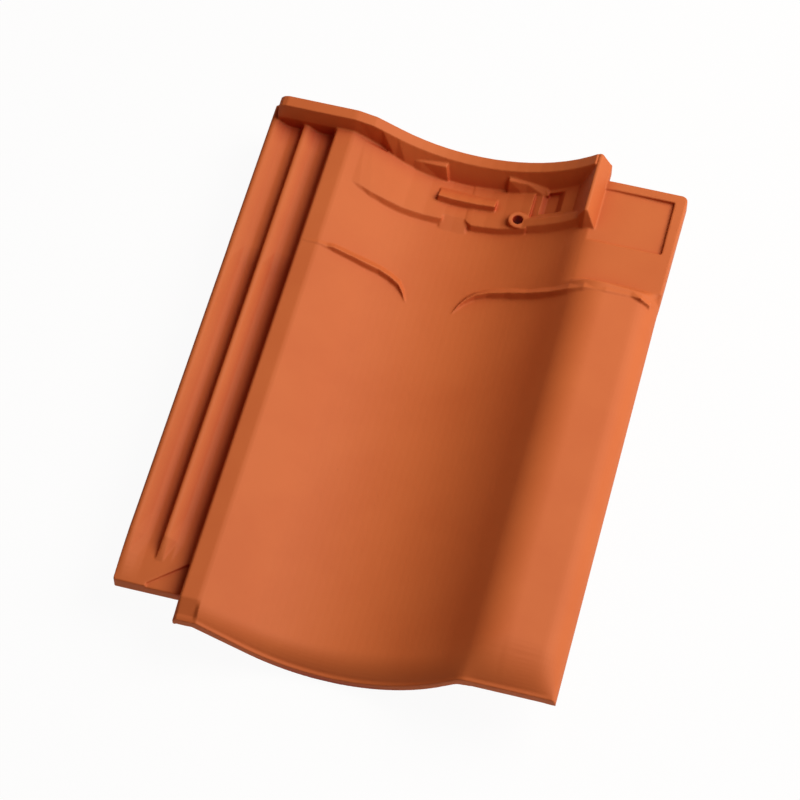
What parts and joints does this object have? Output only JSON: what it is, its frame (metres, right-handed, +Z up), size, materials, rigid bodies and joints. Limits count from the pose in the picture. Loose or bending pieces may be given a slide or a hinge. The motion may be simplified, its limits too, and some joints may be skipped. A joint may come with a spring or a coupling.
{
  "type": "clay roof tile",
  "caption": "Interlocking clay roof tile with a hollow pan, a high side roll, a two-channel side lock, a rounded nose, a head lip, a nail hole and batten nibs.",
  "frame": {"origin": "middle of the tile's plan, on the floor it lies on", "axes": "+X across the tile from the side lock to the roll, +Y from the nose to the head, +Z up"},
  "size_m": [0.2622, 0.359, 0.0554],
  "materials": {
    "fired_clay": "satin"
  },
  "bodies": {
    "root": {"roof_tile": "fired_clay"}
  },
  "joints": []
}
